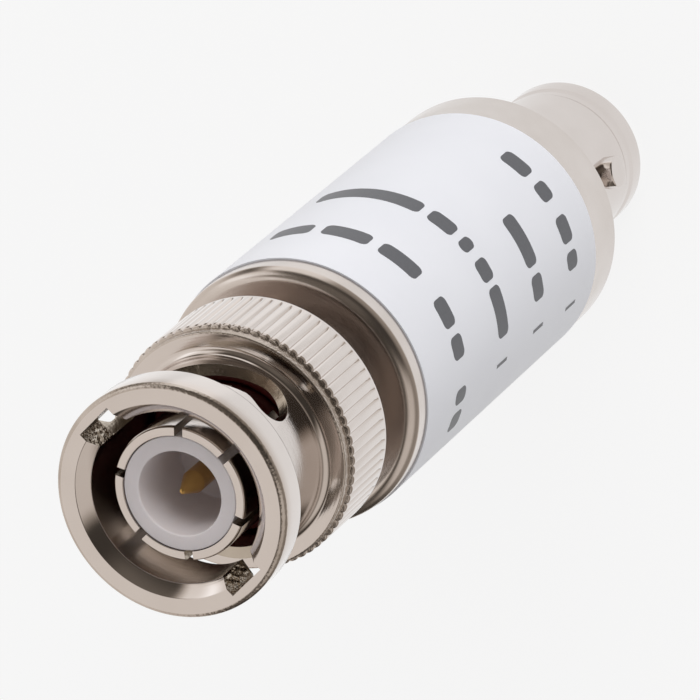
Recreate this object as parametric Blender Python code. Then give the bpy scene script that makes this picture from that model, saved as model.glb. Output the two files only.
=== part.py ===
"""In-line coaxial attenuator with a bayonet plug on one end and a bayonet jack on the other.

The part stands on the mouth of its jack. Its axis is +Z, the origin is the middle of the mouth, and the plug
points up. Sizes are millimetres here and become metres where a mesh is made.
"""
import math

import bmesh
import bpy
from mathutils import Matrix, Vector

MM = 0.001

# Fits and gaps
PRESS_GAP = 0.03        # between a pressed-in piece and its seat, so that the meshes stay apart
SEAT_GAP = 0.05         # between faces that rest on each other
RUNNING_GAP = 0.2       # round the turning nut
STACK_GAP = 0.05        # between the washers behind the gasket

# Roundness: sides of the large, middle and small turned pieces
SIDES_LARGE = 72
SIDES_MIDDLE = 48
SIDES_SMALL = 24
ARC_STEPS = 4

# Body sleeve and label
BODY_RADIUS = 7.9
BODY_WALL = 1.3
BODY_LENGTH = 31.6
BODY_FRONT_WALL = 2.2
BODY_FRONT_ROUND = 0.55
BODY_REAR_BEVEL = 0.45
NOSE_RADIUS = 5.5
NOSE_LENGTH = 2.59
NOSE_BEVEL = 0.3
LABEL_THICKNESS = 0.1
LABEL_FRONT_MARGIN = 1.7
LABEL_REAR_MARGIN = 3.85
LABEL_SLIT_DEGREES = 4.0
LABEL_SEAM_ANGLE = 120.0

# Jack
JACK_REACH = 12.0
JACK_RADIUS = 4.81
JACK_BORE = 4.07
JACK_BORE_DEPTH = 8.4
JACK_MOUTH_BEVEL = 0.2
JACK_MOUTH_LEAD = 0.12
JACK_GROOVE_HEIGHT = 1.6
JACK_GROOVE_WIDTH = 0.9
JACK_GROOVE_DEPTH = 0.12
JACK_SEAT_STEP = 0.35      # how far the flange and its counterbore stand out from the sleeve's bore
JACK_FLANGE_LENGTH = 3.0
JACK_FLANGE_RECESS = 0.3
JACK_TAIL_RADIUS = 4.2
JACK_TAIL_LENGTH = 5.0
STUD_RADIUS = 1.0
STUD_HEIGHT = 5.2
STUD_REACH = 0.69
STUD_BEVEL = 0.12
JACK_INSULATOR_RADIUS = 2.38
JACK_INSULATOR_RECESS = 3.3
JACK_INSULATOR_SHOULDER = 1.0

# Line through the middle
BEAD_BORE = 3.0
PIN_RADIUS = 0.675
PIN_CONE_LENGTH = 1.35
PIN_NOSE_RADIUS = 0.16
PIN_SHANK_RADIUS = 0.9
PIN_TONGUE_LENGTH = 3.0
PIN_STEP_BELOW_WELL = 1.5
SOCKET_RADIUS = 1.1
SOCKET_BORE = 0.72
SOCKET_BORE_DEPTH = 5.5
SOCKET_RECESS = 0.15
SOCKET_SLOT_WIDTH = 0.3
SOCKET_SLOT_LENGTH = 4.0

# Coupling nut, depths measured from its front face
NUT_LENGTH = 13.56
NUT_BORE = 5.1
RIM_RADIUS = 6.95
RIM_BEVEL = 0.33
ENTRY_CHAMFER_WIDTH = 0.67
ENTRY_CHAMFER_DEPTH = 0.65
RIM_LENGTH = 2.1
NECK_WALL = 0.7
NECK_START = 3.5
FLANGE_DEPTH = 7.95
FLANGE_RADIUS = 7.11
FLANGE_BEVEL = 0.1
KNURL_DEPTH = 8.63
KNURL_TIP_RADIUS = 7.37
KNURL_HEIGHT = 0.18
KNURL_TEETH = 75
KNURL_REAR_BEVEL = 0.3
NUT_WEB_THICKNESS = 1.06

# Bayonet windows and entry notches of the nut; angles are measured from the notch
NOTCH_ANGLE = 33.0
NOTCH_WIDTH = 2.5
NOTCH_CUT = 1.05            # how far the notch is cut outwards from the bore
WINDOW_START = 14.0
WINDOW_WIDTH = 2.6
RAMP_DEPTH = 2.7            # front edge of the window at the notch
HUMP_ANGLE = -75.0
HUMP_DEPTH = 4.63
POCKET_ANGLE = -88.7
POCKET_DEPTH = 5.4
POCKET_RADIUS = 1.15
WINDOW_STEP_DEGREES = 7.0

# Plug shell, fingers and insulator
FINGER_RECESS = 1.25
FINGER_RADIUS = 4.0
FINGER_BORE = 3.43
FINGER_ROOT_DEPTH = 8.0
FINGER_SLOT_WIDTH = 0.5
FINGER_TIP_BEVEL = 0.25
FINGER_SLOT_ANGLES = (-15.0, -62.0, -122.0, 173.0, 124.0, 63.5)
SHELL_FLANGE_DEPTH = 10.1
SHELL_FLANGE_LENGTH = 1.05
SHELL_NECK_RADIUS = 4.4
SHELL_SHOULDER = 0.2
SHELL_TAIL_LENGTH = 5.0
PLUG_INSULATOR_LENGTH = 10.6
PLUG_WELL_RADIUS = 2.5
PLUG_WELL_DEPTH = 5.6
PIN_RECESS = 0.3

# Gasket and washers
GASKET_LENGTH = 1.8
GASKET_ROUND = 0.3
SLIP_WASHER_THICKNESS = 0.4
WAVE_WASHER_THICKNESS = 0.2
WAVE_WASHER_WAVES = 3

# Resistor board
BOARD_EDGE_INSET = 0.4      # from the outside of the tail to the board's edge
BOARD_THICKNESS = 1.0
BOARD_SLOT_DEPTH = 3.0
BOARD_CLEARANCE = 0.05
SHUNT_SIZE = (2.0, 0.55, 1.25)
SERIES_SIZE = (1.6, 0.55, 3.2)
SHUNT_OFFSET = 2.3
SERIES_OFFSET = 1.2
RESISTOR_END_DISTANCE = 3.2

# Radii that follow from the values above
BODY_BORE = BODY_RADIUS - BODY_WALL
JACK_FLANGE_RADIUS = BODY_BORE + JACK_SEAT_STEP
STUD_TIP_RADIUS = JACK_RADIUS + STUD_REACH
NECK_RADIUS = NUT_BORE + NECK_WALL
RIM_FACE_INNER = NUT_BORE + ENTRY_CHAMFER_WIDTH
NOTCH_REACH = NUT_BORE + NOTCH_CUT
KNURL_VALLEY_RADIUS = KNURL_TIP_RADIUS - KNURL_HEIGHT
NUT_WEB_BORE = SHELL_NECK_RADIUS + RUNNING_GAP
SHELL_FLANGE_RADIUS = NUT_BORE - RUNNING_GAP
SHELL_TAIL_RADIUS = SHELL_NECK_RADIUS - SHELL_SHOULDER
BOARD_HALF_WIDTH = min(SHELL_TAIL_RADIUS, JACK_TAIL_RADIUS) - BOARD_EDGE_INSET

# Heights above the mouth that follow from the lengths
BODY_REAR = JACK_REACH
BODY_FRONT = BODY_REAR + BODY_LENGTH
NOSE_FRONT = BODY_FRONT + NOSE_LENGTH
NUT_REAR = NOSE_FRONT + SEAT_GAP
NUT_FRONT = NUT_REAR + NUT_LENGTH
WEB_FRONT = NUT_REAR + NUT_WEB_THICKNESS
FINGER_FRONT = NUT_FRONT - FINGER_RECESS
SHELL_FLANGE_FRONT = NUT_FRONT - SHELL_FLANGE_DEPTH
SHELL_FLANGE_REAR = SHELL_FLANGE_FRONT - SHELL_FLANGE_LENGTH
INNER_WALL = BODY_FRONT - BODY_FRONT_WALL
SHELL_TAIL_END = INNER_WALL - SHELL_TAIL_LENGTH
JACK_FLANGE_REAR = BODY_REAR + JACK_FLANGE_RECESS
JACK_FLANGE_FRONT = JACK_FLANGE_REAR + JACK_FLANGE_LENGTH
JACK_TAIL_END = JACK_FLANGE_FRONT + JACK_TAIL_LENGTH
BOARD_BOTTOM = JACK_TAIL_END - BOARD_SLOT_DEPTH + BOARD_CLEARANCE
BOARD_TOP = SHELL_TAIL_END + BOARD_SLOT_DEPTH - BOARD_CLEARANCE


def clear_scene():
    for old in list(bpy.data.objects):
        bpy.data.objects.remove(old, do_unlink=True)


def finish_material(name, colour, roughness, metallic):
    material = bpy.data.materials.new(name)
    material.use_nodes = True
    shader = material.node_tree.nodes["Principled BSDF"]
    shader.inputs["Base Color"].default_value = (*colour, 1.0)
    shader.inputs["Roughness"].default_value = roughness
    shader.inputs["Metallic"].default_value = metallic
    material.diffuse_color = (*colour, 1.0)
    return material


def make_materials():
    return {
        "nickel": finish_material("nickel plate", (0.62, 0.58, 0.52), 0.28, 1.0),
        "gold": finish_material("gold plate", (0.80, 0.55, 0.20), 0.25, 1.0),
        "steel": finish_material("spring steel", (0.55, 0.56, 0.58), 0.30, 1.0),
        "ptfe": finish_material("white fluoropolymer", (0.83, 0.83, 0.83), 0.45, 0.0),
        "silicone": finish_material("dark red silicone", (0.16, 0.02, 0.015), 0.5, 0.0),
        "label": finish_material("white label film", (0.75, 0.76, 0.78), 0.35, 0.0),
        "board": finish_material("green board laminate", (0.03, 0.20, 0.08), 0.5, 0.0),
        "resistor": finish_material("black chip resistor", (0.03, 0.03, 0.03), 0.45, 0.0),
    }


def object_from(bm, name, material, smooth=True):
    """Close a bmesh into an object whose faces point out, shaded smooth with sharp edges."""
    bmesh.ops.remove_doubles(bm, verts=bm.verts, dist=1e-7)
    bmesh.ops.recalc_face_normals(bm, faces=bm.faces)
    mesh = bpy.data.meshes.new(name)
    bm.to_mesh(mesh)
    bm.free()
    if smooth:
        mesh.shade_smooth()
        mesh.set_sharp_from_angle(angle=math.radians(35))
    if material is not None:
        mesh.materials.append(material)
    made = bpy.data.objects.new(name, mesh)
    bpy.context.collection.objects.link(made)
    return made


def arc(centre_r, centre_z, radius, start, end, steps=ARC_STEPS):
    """Profile points on a rounding, from one angle to another; 0 points outwards and 90 up."""
    points = []
    for step in range(steps + 1):
        angle = math.radians(start + (end - start) * step / steps)
        points.append((centre_r + radius * math.cos(angle), centre_z + radius * math.sin(angle)))
    return points


def turned(name, profile, material, sides):
    """Spin a closed profile of (radius, height) points round the axis."""
    bm = bmesh.new()
    verts = [bm.verts.new((r * MM, 0.0, z * MM)) for r, z in profile]
    edges = []
    for first, second in zip(verts, verts[1:] + verts[:1]):
        on_axis = first.co.x < 1e-9 and second.co.x < 1e-9
        if not on_axis:
            edges.append(bm.edges.new((first, second)))
    bmesh.ops.spin(
        bm, geom=verts + edges, cent=(0, 0, 0), axis=(0, 0, 1), angle=math.tau, steps=sides)
    return object_from(bm, name, material)


def block(name, low, high, material=None, turn=0.0):
    """A box between two corners, turned about the axis by an angle in degrees."""
    bm = bmesh.new()
    bmesh.ops.create_cube(bm, size=1.0)
    size = Vector(high) - Vector(low)
    middle = (Vector(high) + Vector(low)) / 2
    bmesh.ops.scale(bm, vec=size * MM, verts=bm.verts)
    bmesh.ops.translate(bm, vec=middle * MM, verts=bm.verts)
    bmesh.ops.rotate(
        bm, cent=(0, 0, 0), matrix=Matrix.Rotation(math.radians(turn), 3, "Z"), verts=bm.verts)
    return object_from(bm, name, material, smooth=False)


def ribbon(name, stations, material=None):
    """A solid through stations of (angle, inner radius, outer radius, low, high), capped at its ends."""
    bm = bmesh.new()
    rings = []
    for angle, inner, outer, low, high in stations:
        turn = Matrix.Rotation(math.radians(angle), 3, "Z")
        corners = ((inner, low), (outer, low), (outer, high), (inner, high))
        rings.append([bm.verts.new(turn @ Vector((r * MM, 0.0, z * MM))) for r, z in corners])
    for here, there in zip(rings, rings[1:]):
        for side in range(4):
            after = (side + 1) % 4
            bm.faces.new((here[side], here[after], there[after], there[side]))
    bm.faces.new(rings[0])
    bm.faces.new(rings[-1])
    return object_from(bm, name, material)


def cut(target, *cutters):
    """Take each cutter out of the target with an exact Boolean; cutters stay as hidden guides."""
    for cutter in cutters:
        cutter.hide_render = True
        cutter.display_type = "WIRE"
        step = target.modifiers.new("cut " + cutter.name, "BOOLEAN")
        step.operation = "DIFFERENCE"
        step.object = cutter


def join_with(target, other):
    """Fuse another solid into the target; the other stays as a hidden guide."""
    other.hide_render = True
    other.display_type = "WIRE"
    step = target.modifiers.new("join " + other.name, "BOOLEAN")
    step.operation = "UNION"
    step.object = other


def make_body(materials):
    """Sleeve with a closed, rounded front, a nose for the plug and a counterbore for the jack's flange."""
    front_round = arc(BODY_RADIUS - BODY_FRONT_ROUND, BODY_FRONT - BODY_FRONT_ROUND,
                      BODY_FRONT_ROUND, 0, 90)
    bore = SHELL_TAIL_RADIUS + PRESS_GAP
    counterbore = JACK_FLANGE_RADIUS + PRESS_GAP
    profile = [
        (counterbore, BODY_REAR),
        (BODY_RADIUS - BODY_REAR_BEVEL, BODY_REAR),
        (BODY_RADIUS, BODY_REAR + BODY_REAR_BEVEL),
        *front_round,
        (NOSE_RADIUS, BODY_FRONT),
        (NOSE_RADIUS, NOSE_FRONT - NOSE_BEVEL),
        (NOSE_RADIUS - NOSE_BEVEL, NOSE_FRONT),
        (bore, NOSE_FRONT),
        (bore, INNER_WALL),
        (BODY_BORE, INNER_WALL),
        (BODY_BORE, JACK_FLANGE_FRONT + SEAT_GAP),
        (counterbore, JACK_FLANGE_FRONT + SEAT_GAP),
    ]
    return turned("body_sleeve", profile, materials["nickel"], SIDES_LARGE)


def make_label(materials):
    """Label film wrapped round the sleeve, with a narrow slit between its ends at the back."""
    high = BODY_FRONT - LABEL_FRONT_MARGIN
    low = BODY_REAR + LABEL_REAR_MARGIN
    inner = BODY_RADIUS + PRESS_GAP
    outer = inner + LABEL_THICKNESS - PRESS_GAP
    sweep = 360.0 - LABEL_SLIT_DEGREES
    stations = []
    for step in range(SIDES_LARGE + 1):
        angle = LABEL_SEAM_ANGLE + LABEL_SLIT_DEGREES / 2 + sweep * step / SIDES_LARGE
        stations.append((angle, inner, outer, low, high))
    return ribbon("body_label", stations, materials["label"])


def make_jack(materials):
    """Barrel with a bevelled mouth and a shallow groove, a flange in the sleeve and a slotted tail."""
    groove_low = JACK_GROOVE_HEIGHT
    groove_high = groove_low + JACK_GROOVE_WIDTH
    groove_radius = JACK_RADIUS - JACK_GROOVE_DEPTH
    profile = [
        (JACK_BORE + JACK_MOUTH_LEAD, 0.0),
        (JACK_RADIUS - JACK_MOUTH_BEVEL, 0.0),
        (JACK_RADIUS, JACK_MOUTH_BEVEL),
        (JACK_RADIUS, groove_low),
        (groove_radius, groove_low + JACK_GROOVE_DEPTH),
        (groove_radius, groove_high - JACK_GROOVE_DEPTH),
        (JACK_RADIUS, groove_high),
        (JACK_RADIUS, JACK_FLANGE_REAR),
        (JACK_FLANGE_RADIUS, JACK_FLANGE_REAR),
        (JACK_FLANGE_RADIUS, JACK_FLANGE_FRONT),
        (JACK_TAIL_RADIUS, JACK_FLANGE_FRONT),
        (JACK_TAIL_RADIUS, JACK_TAIL_END),
        (BEAD_BORE, JACK_TAIL_END),
        (BEAD_BORE, JACK_BORE_DEPTH),
        (JACK_BORE, JACK_BORE_DEPTH),
        (JACK_BORE, JACK_MOUTH_LEAD),
    ]
    shell = turned("jack_shell", profile, materials["nickel"], SIDES_MIDDLE)
    cut(shell, board_slot("jack board slot", BOARD_BOTTOM - BOARD_CLEARANCE, JACK_TAIL_END + 1.0))
    hole = bmesh.new()
    bmesh.ops.create_cone(
        hole, cap_ends=True, segments=SIDES_SMALL, radius1=(STUD_RADIUS + PRESS_GAP) * MM,
        radius2=(STUD_RADIUS + PRESS_GAP) * MM, depth=4 * JACK_RADIUS * MM,
        matrix=Matrix.Translation((0, 0, STUD_HEIGHT * MM)) @ Matrix.Rotation(math.pi / 2, 4, "X"))
    cut(shell, object_from(hole, "stud holes", None))
    return shell


def make_studs(materials):
    """Two pins pressed into the barrel's wall on opposite sides, standing out for the bayonet."""
    inner = JACK_BORE + SEAT_GAP
    for number, turn in ((1, -90.0), (2, 90.0)):
        profile = [
            (0.0, inner),
            (STUD_RADIUS, inner),
            (STUD_RADIUS, STUD_TIP_RADIUS - STUD_BEVEL),
            (STUD_RADIUS - STUD_BEVEL, STUD_TIP_RADIUS),
            (0.0, STUD_TIP_RADIUS),
        ]
        stud = turned("bayonet_stud_%d" % number, profile, materials["nickel"], SIDES_SMALL)
        aim = Matrix.Rotation(math.radians(turn), 4, "Z") @ Matrix.Rotation(math.pi / 2, 4, "Y")
        stud.matrix_world = Matrix.Translation((0, 0, STUD_HEIGHT * MM)) @ aim


def board_slot(name, low, high):
    """Cutter for the slot across a tail in which the board's end sits."""
    half = max(SHELL_TAIL_RADIUS, JACK_TAIL_RADIUS) + 1.0
    return block(
        name, (-half, -BOARD_THICKNESS - BOARD_CLEARANCE, low), (half, BOARD_CLEARANCE, high))


def make_jack_line(materials):
    """Dielectric and bead of the jack, and the socket between them that runs to the board."""
    hole = SOCKET_RADIUS + PRESS_GAP
    seat = BEAD_BORE - PRESS_GAP
    shoulder_low = JACK_BORE_DEPTH + SEAT_GAP
    shoulder_high = shoulder_low + JACK_INSULATOR_SHOULDER
    insulator = [
        (SOCKET_BORE, JACK_INSULATOR_RECESS),
        (JACK_INSULATOR_RADIUS, JACK_INSULATOR_RECESS),
        (JACK_INSULATOR_RADIUS, shoulder_low),
        (seat, shoulder_low),
        (seat, shoulder_high),
        (hole, shoulder_high),
        (hole, JACK_INSULATOR_RECESS + SOCKET_RECESS),
        (SOCKET_BORE, JACK_INSULATOR_RECESS + SOCKET_RECESS),
    ]
    turned("jack_insulator", insulator, materials["ptfe"], SIDES_MIDDLE)
    bead = [
        (hole, shoulder_high + SEAT_GAP),
        (seat, shoulder_high + SEAT_GAP),
        (seat, BOARD_BOTTOM - BOARD_CLEARANCE - SEAT_GAP),
        (hole, BOARD_BOTTOM - BOARD_CLEARANCE - SEAT_GAP),
    ]
    turned("jack_bead", bead, materials["ptfe"], SIDES_MIDDLE)

    socket_front = JACK_INSULATOR_RECESS + SOCKET_RECESS + SEAT_GAP
    socket_end = BOARD_BOTTOM + PIN_TONGUE_LENGTH
    socket = turned(
        "socket_contact",
        [
            (SOCKET_BORE, socket_front),
            (SOCKET_RADIUS, socket_front),
            (SOCKET_RADIUS, socket_end),
            (0.0, socket_end),
            (0.0, socket_front + SOCKET_BORE_DEPTH),
            (SOCKET_BORE, socket_front + SOCKET_BORE_DEPTH),
        ],
        materials["gold"], SIDES_SMALL)
    reach = SOCKET_RADIUS + 0.5
    half = SOCKET_SLOT_WIDTH / 2
    slot_top = socket_front + SOCKET_SLOT_LENGTH
    cut(
        socket,
        block("socket slot one", (-reach, -half, 0.0), (reach, half, slot_top)),
        block("socket slot two", (-half, -reach, 0.0), (half, reach, slot_top)),
        tongue_cutter("socket tongue", BOARD_BOTTOM - BOARD_CLEARANCE, socket_end + 1.0))


def tongue_cutter(name, low, high):
    """Takes away the half of a pin that the board would meet, down to a tongue on the board's face."""
    reach = SOCKET_RADIUS + 0.5
    return block(name, (-reach, -reach, low), (reach, BOARD_CLEARANCE, high))


def make_plug_shell(materials):
    """Outer conductor of the plug: spring fingers, gasket flange, neck in the nut's web, slotted tail."""
    profile = [
        (FINGER_BORE, FINGER_FRONT),
        (FINGER_BORE, FINGER_FRONT - PLUG_INSULATOR_LENGTH - SEAT_GAP),
        (BEAD_BORE, FINGER_FRONT - PLUG_INSULATOR_LENGTH - SEAT_GAP),
        (BEAD_BORE, SHELL_TAIL_END),
        (SHELL_TAIL_RADIUS, SHELL_TAIL_END),
        (SHELL_TAIL_RADIUS, NOSE_FRONT + SEAT_GAP),
        (SHELL_NECK_RADIUS, NOSE_FRONT + SEAT_GAP),
        (SHELL_NECK_RADIUS, SHELL_FLANGE_REAR),
        (SHELL_FLANGE_RADIUS, SHELL_FLANGE_REAR),
        (SHELL_FLANGE_RADIUS, SHELL_FLANGE_FRONT),
        (FINGER_RADIUS, SHELL_FLANGE_FRONT),
        (FINGER_RADIUS, FINGER_FRONT - FINGER_TIP_BEVEL),
        (FINGER_RADIUS - FINGER_TIP_BEVEL / 2, FINGER_FRONT),
    ]
    shell = turned("plug_shell", profile, materials["nickel"], SIDES_MIDDLE)
    half = FINGER_SLOT_WIDTH / 2
    inner = FINGER_BORE - 0.5
    low = NUT_FRONT - FINGER_ROOT_DEPTH
    for number, angle in enumerate(FINGER_SLOT_ANGLES, 1):
        saw = block("finger slot %d" % number, (inner, -half, low),
                    (FINGER_RADIUS + 0.5, half, NUT_FRONT), turn=angle)
        cut(shell, saw)
    cut(shell, board_slot("plug board slot", SHELL_TAIL_END - 1.0, BOARD_TOP + BOARD_CLEARANCE))
    return shell


def make_plug_line(materials):
    """Insulator tube with its well, rear bead, and the pin that runs from the well to the board."""
    radius = FINGER_BORE - PRESS_GAP
    rear = FINGER_FRONT - PLUG_INSULATOR_LENGTH
    floor = FINGER_FRONT - PLUG_WELL_DEPTH
    step = floor - PIN_STEP_BELOW_WELL
    pin_hole = PIN_RADIUS + PRESS_GAP
    shank_hole = PIN_SHANK_RADIUS + PRESS_GAP
    turned(
        "plug_insulator",
        [
            (PLUG_WELL_RADIUS, FINGER_FRONT - SEAT_GAP),
            (PLUG_WELL_RADIUS, floor),
            (pin_hole, floor),
            (pin_hole, step),
            (shank_hole, step),
            (shank_hole, rear),
            (radius, rear),
            (radius, FINGER_FRONT - SEAT_GAP),
        ],
        materials["ptfe"], SIDES_MIDDLE)
    bead_top = rear - 2 * SEAT_GAP
    bead_bottom = BOARD_TOP + BOARD_CLEARANCE + SEAT_GAP
    turned(
        "plug_bead",
        [
            (shank_hole, bead_bottom),
            (BEAD_BORE - PRESS_GAP, bead_bottom),
            (BEAD_BORE - PRESS_GAP, bead_top),
            (shank_hole, bead_top),
        ],
        materials["ptfe"], SIDES_MIDDLE)

    tip = FINGER_FRONT - PIN_RECESS
    cone_end = tip - PIN_CONE_LENGTH
    nose = arc(0.0, tip - PIN_NOSE_RADIUS, PIN_NOSE_RADIUS, 90, 0)
    pin_end = BOARD_TOP - PIN_TONGUE_LENGTH
    pin = turned(
        "centre_pin",
        [
            *nose,
            (PIN_RADIUS, cone_end),
            (PIN_RADIUS, step - SEAT_GAP),
            (PIN_SHANK_RADIUS, step - SEAT_GAP),
            (PIN_SHANK_RADIUS, pin_end),
            (0.0, pin_end),
        ],
        materials["gold"], SIDES_SMALL)
    cut(pin, tongue_cutter("pin tongue", pin_end - 1.0, BOARD_TOP + BOARD_CLEARANCE))


def make_gasket_and_washers(materials):
    """Gasket on the shell's flange; behind the flange a wave washer and the washer it presses on."""
    low = SHELL_FLANGE_FRONT + SEAT_GAP
    high = low + GASKET_LENGTH
    inner = FINGER_RADIUS + PRESS_GAP
    outer = SHELL_FLANGE_RADIUS
    turned(
        "gasket",
        [
            (inner, low),
            (outer, low),
            *arc(outer - GASKET_ROUND, high - GASKET_ROUND, GASKET_ROUND, 0, 90, 2),
            *arc(inner + GASKET_ROUND, high - GASKET_ROUND, GASKET_ROUND, 90, 180, 2),
        ],
        materials["silicone"], SIDES_MIDDLE)

    slip_low = WEB_FRONT + STACK_GAP
    slip_high = slip_low + SLIP_WASHER_THICKNESS
    inner = SHELL_NECK_RADIUS + STACK_GAP * 2
    turned(
        "slip_washer",
        [(inner, slip_low), (outer, slip_low), (outer, slip_high), (inner, slip_high)],
        materials["steel"], SIDES_MIDDLE)

    space = SHELL_FLANGE_REAR - STACK_GAP - (slip_high + STACK_GAP)
    swing = (space - WAVE_WASHER_THICKNESS) / 2
    middle = slip_high + STACK_GAP + space / 2
    stations = []
    for step in range(SIDES_MIDDLE):
        angle = 360.0 * step / SIDES_MIDDLE
        rise = swing * math.cos(math.radians(angle * WAVE_WASHER_WAVES))
        low = middle + rise - WAVE_WASHER_THICKNESS / 2
        stations.append((angle, inner, outer, low, low + WAVE_WASHER_THICKNESS))
    wave_ring(stations, materials["steel"])


def wave_ring(stations, material):
    """A closed ring through stations of (angle, inner radius, outer radius, low, high)."""
    bm = bmesh.new()
    rings = []
    for angle, inner, outer, low, high in stations:
        turn = Matrix.Rotation(math.radians(angle), 3, "Z")
        corners = ((inner, low), (outer, low), (outer, high), (inner, high))
        rings.append([bm.verts.new(turn @ Vector((r * MM, 0.0, z * MM))) for r, z in corners])
    for here, there in zip(rings, rings[1:] + rings[:1]):
        for side in range(4):
            after = (side + 1) % 4
            bm.faces.new((here[side], here[after], there[after], there[side]))
    return object_from(bm, "wave_washer", material)


def neck_radius(depth):
    """Smooth narrowing from the rim to the neck."""
    share = min(max((depth - RIM_LENGTH) / (NECK_START - RIM_LENGTH), 0.0), 1.0)
    blend = share * share * (3 - 2 * share)
    return RIM_RADIUS + (NECK_RADIUS - RIM_RADIUS) * blend


def make_nut(materials):
    """Coupling nut: rim, neck, flange and knurl round one bore, with a web that bears on the washers."""
    def at(radius, depth):
        return (radius, NUT_FRONT - depth)

    necking = [at(neck_radius(RIM_LENGTH + (NECK_START - RIM_LENGTH) * step / 6),
                  RIM_LENGTH + (NECK_START - RIM_LENGTH) * step / 6) for step in range(7)]
    core = KNURL_VALLEY_RADIUS - 0.1
    profile = [
        at(NUT_BORE, ENTRY_CHAMFER_DEPTH),
        at(RIM_FACE_INNER, 0.0),
        at(RIM_RADIUS - RIM_BEVEL, 0.0),
        at(RIM_RADIUS, RIM_BEVEL),
        *necking,
        at(NECK_RADIUS, FLANGE_DEPTH),
        at(FLANGE_RADIUS - FLANGE_BEVEL, FLANGE_DEPTH),
        at(FLANGE_RADIUS, FLANGE_DEPTH + FLANGE_BEVEL),
        at(FLANGE_RADIUS, KNURL_DEPTH - 0.1),
        at(core, KNURL_DEPTH),
        at(core, NUT_LENGTH - KNURL_REAR_BEVEL),
        at(core - KNURL_REAR_BEVEL, NUT_LENGTH),
        at(NUT_WEB_BORE, NUT_LENGTH),
        (NUT_WEB_BORE, WEB_FRONT),
        (NUT_BORE, WEB_FRONT),
    ]
    nut = turned("coupling_nut", profile, materials["nickel"], SIDES_LARGE)
    join_with(nut, knurl_ring())
    for number, turn in ((1, NOTCH_ANGLE), (2, NOTCH_ANGLE + 180.0)):
        cut(nut, window_cutter("window %d" % number, turn), notch_cutter("notch %d" % number, turn))
    return nut


def knurl_ring():
    """Ring with straight teeth, its middle sunk in the nut's wall."""
    top = NUT_FRONT - KNURL_DEPTH
    bottom = NUT_REAR + SEAT_GAP
    levels = ((top, 0.0), (bottom + KNURL_REAR_BEVEL, 0.0), (bottom, KNURL_REAR_BEVEL / 2))
    hidden = (NUT_BORE + KNURL_VALLEY_RADIUS) / 2
    bm = bmesh.new()
    rings = []
    for height, drop in levels:
        ring = []
        for step in range(2 * KNURL_TEETH):
            radius = (KNURL_TIP_RADIUS if step % 2 else KNURL_VALLEY_RADIUS) - drop
            angle = math.pi * step / KNURL_TEETH
            ring.append(bm.verts.new(
                (radius * math.cos(angle) * MM, radius * math.sin(angle) * MM, height * MM)))
        rings.append(ring)
    for height in (bottom, top):
        ring = []
        for step in range(2 * KNURL_TEETH):
            angle = math.pi * step / KNURL_TEETH
            ring.append(bm.verts.new(
                (hidden * math.cos(angle) * MM, hidden * math.sin(angle) * MM, height * MM)))
        rings.append(ring)
    for here, there in zip(rings, rings[1:] + rings[:1]):
        for step in range(2 * KNURL_TEETH):
            after = (step + 1) % (2 * KNURL_TEETH)
            bm.faces.new((here[step], here[after], there[after], there[step]))
    return object_from(bm, "knurl ring", None)


def window_cutter(name, turn):
    """Bayonet window: a spiral ramp from the notch, a hump, and a round detent pocket at its end."""
    pocket_half = math.degrees(POCKET_RADIUS / NECK_RADIUS)
    angles = []
    angle = WINDOW_START
    while angle > HUMP_ANGLE:
        angles.append(angle)
        angle -= WINDOW_STEP_DEGREES
    angles.append(HUMP_ANGLE)
    pocket_steps = 8
    for step in range(pocket_steps + 1):
        swing = math.cos(math.pi * step / pocket_steps)
        angles.append(POCKET_ANGLE + pocket_half * 0.98 * swing)
    stations = []
    for angle in angles:
        front, rear = window_edges(angle, pocket_half)
        stations.append((turn + angle, NUT_BORE - 0.6, RIM_RADIUS + 1.2,
                         NUT_FRONT - rear, NUT_FRONT - front))
    return ribbon(name, stations)


def ramp_depth(angle):
    """Depth of the spiral ramp at an angle from the notch."""
    return RAMP_DEPTH + (HUMP_DEPTH - RAMP_DEPTH) * angle / HUMP_ANGLE


def window_edges(angle, pocket_half):
    """Front and rear depth of the bayonet window at an angle from its notch."""
    across = (angle - POCKET_ANGLE) / pocket_half
    crest = POCKET_DEPTH - POCKET_RADIUS
    if across < 0.0:
        front = POCKET_DEPTH - POCKET_RADIUS * math.sqrt(1.0 - across * across)
    elif angle < HUMP_ANGLE:
        front = crest + (HUMP_DEPTH - crest) * (angle - POCKET_ANGLE) / (HUMP_ANGLE - POCKET_ANGLE)
    else:
        front = ramp_depth(angle)
    if across < 1.0:
        reach = ramp_depth(POCKET_ANGLE + pocket_half) + WINDOW_WIDTH - POCKET_DEPTH
        rear = POCKET_DEPTH + reach * math.sqrt(1.0 - ((1.0 - across) / 2) ** 2)
    else:
        rear = ramp_depth(angle) + WINDOW_WIDTH
    return front, rear


def notch_cutter(name, turn):
    """Entry notch for a stud, milled inside the rim from the front face to the window."""
    half = NOTCH_WIDTH / 2
    return block(name, (NUT_BORE - 0.9, -half, NUT_FRONT - RAMP_DEPTH - 0.3),
                 (NOTCH_REACH, half, NUT_FRONT + 1.0), turn=turn)


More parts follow.
